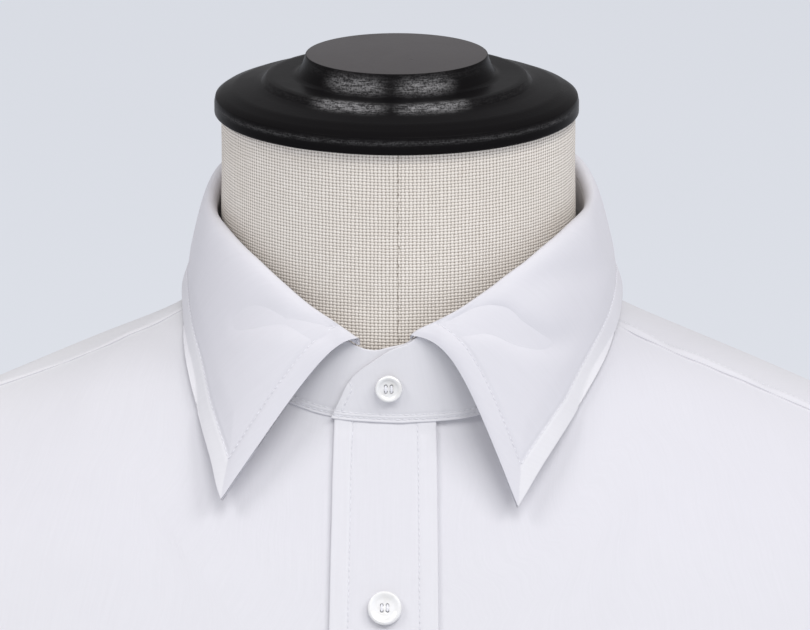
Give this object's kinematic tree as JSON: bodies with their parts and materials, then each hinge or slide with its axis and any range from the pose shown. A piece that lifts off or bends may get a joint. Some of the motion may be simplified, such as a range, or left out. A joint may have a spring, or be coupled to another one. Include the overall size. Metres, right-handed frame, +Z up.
{
  "type": "point collar dress shirt on dress form",
  "caption": "Long-sleeved white cotton shirt with a turned-down point collar, buttoned on a limbless linen dress form with a black turned neck cap, pole and round base.",
  "frame": {"origin": "centre of the round base's underside, on the floor", "axes": "+Z up along the pole; -Y is the front, towards which the buttoned front faces; +X is the wearer's left"},
  "size_m": [0.5461, 0.3, 0.9748],
  "materials": {
    "white_cotton": "smooth white cotton, plain weave, matt",
    "linen": "natural linen canvas, coarse plain weave",
    "black_wood": "turned wood, black satin lacquer",
    "pearl_button": "pearl white"
  },
  "bodies": {
    "root": {"back": "white_cotton", "button_band": "white_cotton", "collar_leaf": "white_cotton", "collar_stand": "white_cotton", "cuff_left": "white_cotton", "cuff_right": "white_cotton", "front_left": "white_cotton", "front_right": "white_cotton", "sleeve_band_left": "white_cotton", "sleeve_band_right": "white_cotton", "sleeve_left": "white_cotton", "sleeve_right": "white_cotton", "yoke": "white_cotton", "button_1": "pearl_button", "button_2": "pearl_button", "button_3": "pearl_button", "button_4": "pearl_button", "button_5": "pearl_button", "button_6": "pearl_button", "button_7": "pearl_button", "collar_button": "pearl_button", "cuff_button_left": "pearl_button", "cuff_button_right": "pearl_button", "sleeve_band_button_left": "pearl_button", "sleeve_band_button_right": "pearl_button", "form_base": "black_wood", "form_cap": "black_wood", "form_pole": "black_wood", "form_torso": "linen"}
  },
  "joints": []
}
